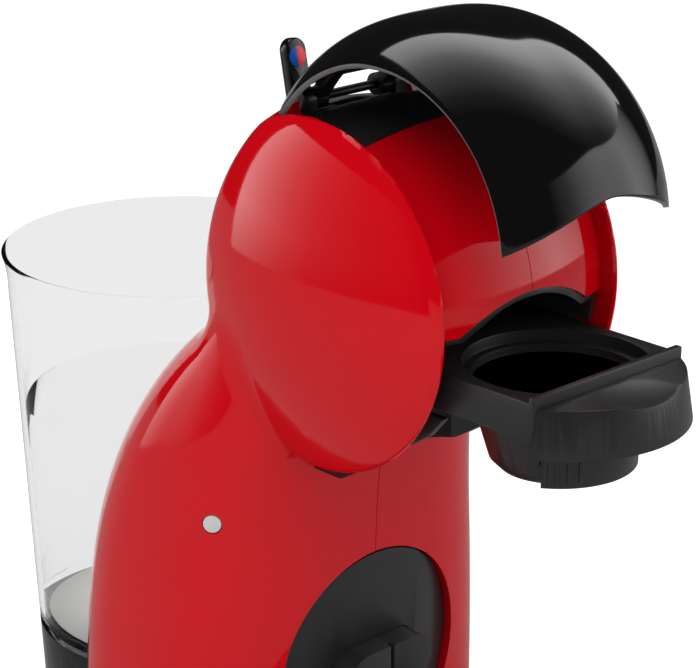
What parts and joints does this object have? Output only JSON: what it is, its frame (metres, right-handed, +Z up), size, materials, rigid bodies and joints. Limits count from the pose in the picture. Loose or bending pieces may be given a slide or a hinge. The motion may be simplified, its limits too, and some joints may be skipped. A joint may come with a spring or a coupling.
{
  "type": "pod coffee machine",
  "caption": "Capsule coffee machine with a drum-shaped head, lift-up hood, pull-out capsule drawer, rear water tank and hang-on drip tray.",
  "frame": {"origin": "middle of the machine's box, on the surface it stands on", "axes": "+Z up, the front faces -Y, +X is the machine's own left seen from the front"},
  "size_m": [0.14, 0.2816, 0.297],
  "materials": {
    "red_gloss": "glossy moulded ABS",
    "black_gloss": "glossy moulded ABS",
    "black_matt": "fine matt moulded plastic",
    "grey_matt": "fine matt moulded plastic",
    "rubber": "moulded rubber",
    "clear": "clear moulded plastic",
    "steel": "bright steel",
    "aluminium": "die cast",
    "white_plastic": "moulded plastic",
    "silicone": "silicone hose",
    "red_silicone": "silicone seal",
    "blue_plastic": "moulded plastic",
    "warm_red_plastic": "moulded plastic",
    "pale_button": "moulded plastic",
    "board_green": "solder mask"
  },
  "bodies": {
    "machine": {"base_plate": "black_matt", "rubber_feet": "rubber", "body_shell_left": "red_gloss", "body_shell_right": "red_gloss", "rear_cover": "black_matt", "rear_cover_screws": "steel", "head_back_cover": "black_gloss", "head_top_deck": "black_matt", "drawer_guide": "black_matt", "chin_guard": "black_matt", "hood_hinge_pin": "steel", "lever_pin": "steel", "selector_valve": "white_plastic", "tank_pedestal": "black_gloss", "tank_inlet": "white_plastic", "inlet_seal": "red_silicone", "tray_mount": "grey_matt", "pump_body": "black_matt", "pump_tube": "white_plastic", "pump_mounts": "rubber", "heater_block": "aluminium", "heater_tube": "steel", "thermostat": "black_matt", "control_board": "board_green", "board_parts": "black_matt", "power_switch": "black_matt", "feed_hose": "silicone", "pump_hose": "silicone", "brew_hose": "silicone", "cord_gland": "black_matt"},
    "hood": {"hood_cover": "black_gloss", "hood_liner": "black_matt", "hood_latch": "black_matt"},
    "brew_press": {"brew_head": "black_gloss", "brew_seal": "red_silicone", "piercing_needle": "steel", "brew_head_screws": "steel"},
    "lever": {"selector_lever": "black_gloss", "cold_mark": "blue_plastic", "hot_mark": "warm_red_plastic"},
    "drawer": {"capsule_drawer": "black_matt", "capsule_cup": "black_matt", "drawer_grip": "black_matt"},
    "tank": {"water_tank": "clear", "tank_outlet": "clear", "tank_strainer": "white_plastic"},
    "tank_valve": {"tank_valve_plug": "blue_plastic"},
    "tray": {"drip_disc": "grey_matt", "drip_dish": "grey_matt"},
    "grille": {"drip_grille": "steel"},
    "button": {"power_button": "pale_button"}
  },
  "joints": [
    {"name": "hood_hinge", "type": "hinge", "parent": "machine", "child": "hood", "pos_m": [0, -0.00833, 0.2637], "axis": [1, 0, 0], "range_deg": [0, 27]},
    {"name": "brew_press", "type": "slide", "parent": "machine", "child": "brew_press", "axis": [0, 0, -1], "range_m": [0, 0.0034]},
    {"name": "lever_swing", "type": "hinge", "parent": "machine", "child": "lever", "pos_m": [0, 0.00928, 0.23], "axis": [0, 0.9799, -0.1994], "range_deg": [-20, 20]},
    {"name": "drawer_slide", "type": "slide", "parent": "machine", "child": "drawer", "axis": [0, 1, 0], "range_m": [0, 0.046]},
    {"name": "tank_lift", "type": "slide", "parent": "machine", "child": "tank", "axis": [0, 0, 1], "range_m": [0, 0.06]},
    {"name": "tank_valve_drop", "type": "slide", "parent": "tank", "child": "tank_valve", "axis": [0, 0, -1], "range_m": [0, 0.002]},
    {"name": "tray_pull", "type": "slide", "parent": "machine", "child": "tray", "axis": [0, -1, 0], "range_m": [0, 0.03]},
    {"name": "grille_lift", "type": "slide", "parent": "tray", "child": "grille", "axis": [0, 0, 1], "range_m": [0, 0.02]},
    {"name": "button_press", "type": "slide", "parent": "machine", "child": "button", "axis": [0.7593, 0.6508, 0], "range_m": [0, 0.0015], "stiffness_N_per_m": 300, "springref_m": -0.0003}
  ],
  "couplings": [
    {"joint": "brew_press", "follows": "hood_hinge", "m_per_rad": 0.007208},
    {"joint": "tank_valve_drop", "follows": "tank_lift", "ratio": 0.0333}
  ]
}
